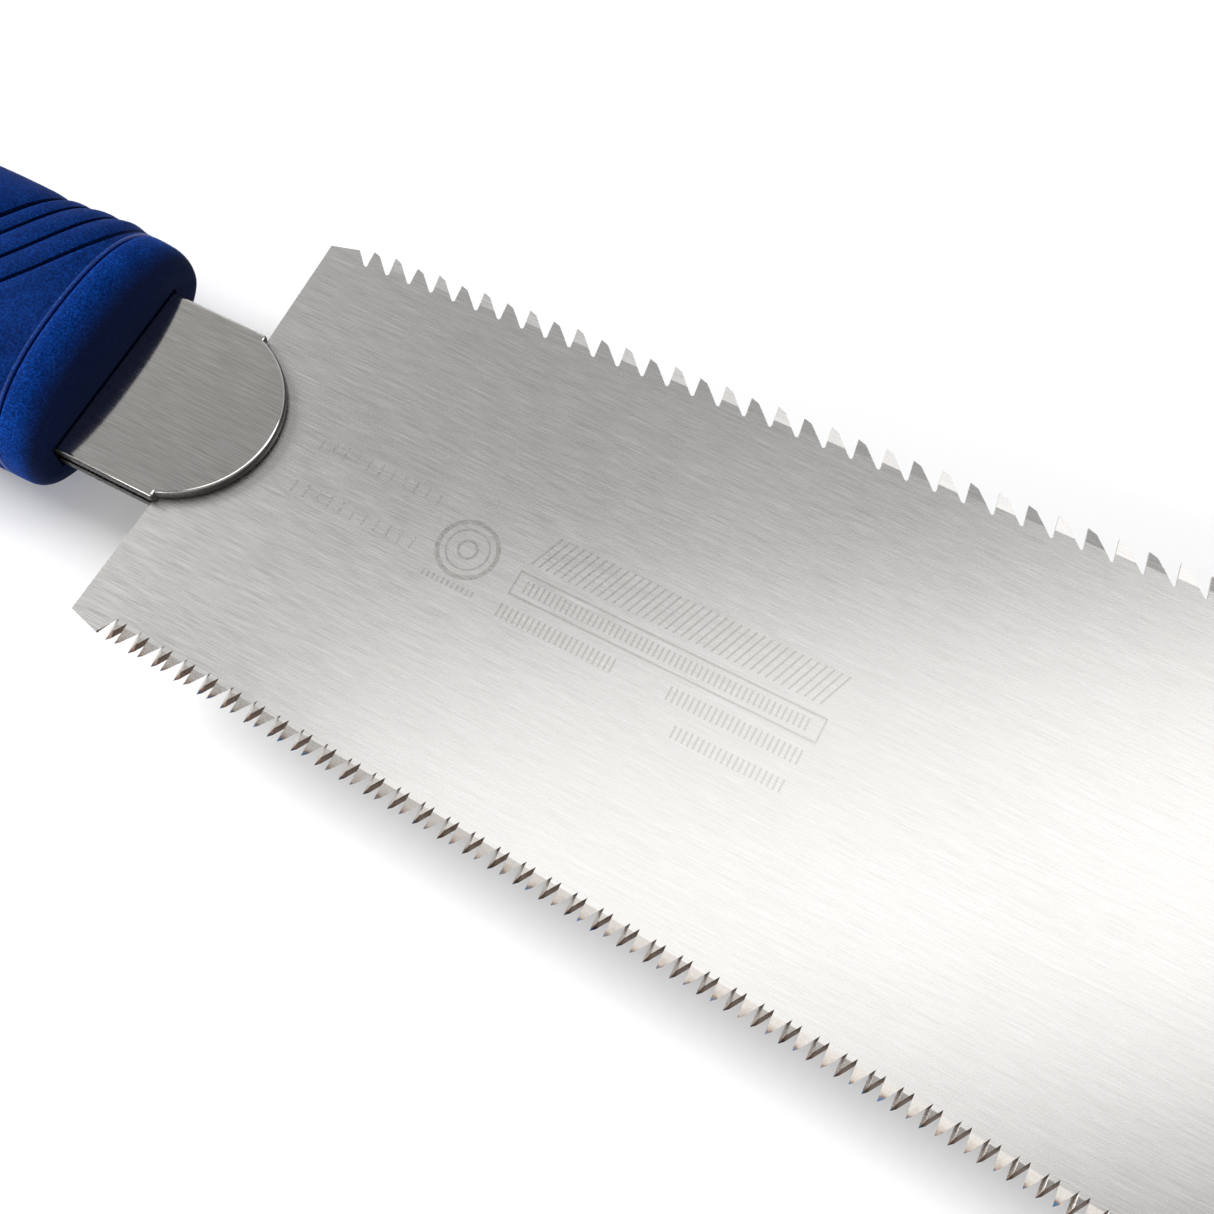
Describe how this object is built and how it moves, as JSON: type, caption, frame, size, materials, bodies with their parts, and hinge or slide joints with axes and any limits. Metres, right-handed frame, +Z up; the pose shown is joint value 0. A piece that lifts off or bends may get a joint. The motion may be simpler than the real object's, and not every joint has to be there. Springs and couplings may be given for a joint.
{
  "type": "double-edged pull saw",
  "caption": "Pull saw with a thin flared blade, rip teeth on one edge and crosscut teeth on the other, that slides into a steel jaw in a grooved rubber handle.",
  "frame": {"origin": "bottom centre of the bounding box, on the surface that the saw lies on", "axes": "+X along the saw from the handle to the toe of the blade, +Y towards the rip edge, +Z up, square to the blade's face"},
  "size_m": [0.393, 0.0747, 0.0222],
  "materials": {
    "blade_steel": "fine brushed grain along the blade",
    "jaw_steel": "warm brushed grain along the jaw",
    "spring_steel": "plain rolled spring strip",
    "fastener_steel": "satin, lightly polished heads",
    "blue_rubber": "matt navy-blue elastomer with a fine texture",
    "core_plastic": "moulded, matt"
  },
  "bodies": {
    "handle": {"blade_stop_pin": "fastener_steel", "butt_cap": "blue_rubber", "cap_screw": "fastener_steel", "core_half_lower": "core_plastic", "core_half_upper": "core_plastic", "core_screw_front": "fastener_steel", "core_screw_middle": "fastener_steel", "core_screw_rear": "fastener_steel", "front_collar": "blue_rubber", "grip_sleeve": "blue_rubber", "jaw_anchor_pin_left": "fastener_steel", "jaw_anchor_pin_right": "fastener_steel", "jaw_plate_lower": "jaw_steel", "jaw_plate_upper": "jaw_steel", "jaw_rail_left": "jaw_steel", "jaw_rail_right": "jaw_steel", "jaw_rivet_front_left": "fastener_steel", "jaw_rivet_front_right": "fastener_steel", "jaw_rivet_rear_left": "fastener_steel", "jaw_rivet_rear_right": "fastener_steel", "spring_rivet": "fastener_steel", "tang_spring": "spring_steel"},
    "blade": {"saw_blade": "blade_steel"}
  },
  "joints": [
    {"name": "blade_slide", "type": "slide", "parent": "handle", "child": "blade", "axis": [1, 0, 0], "range_m": [0, 0.07]}
  ]
}
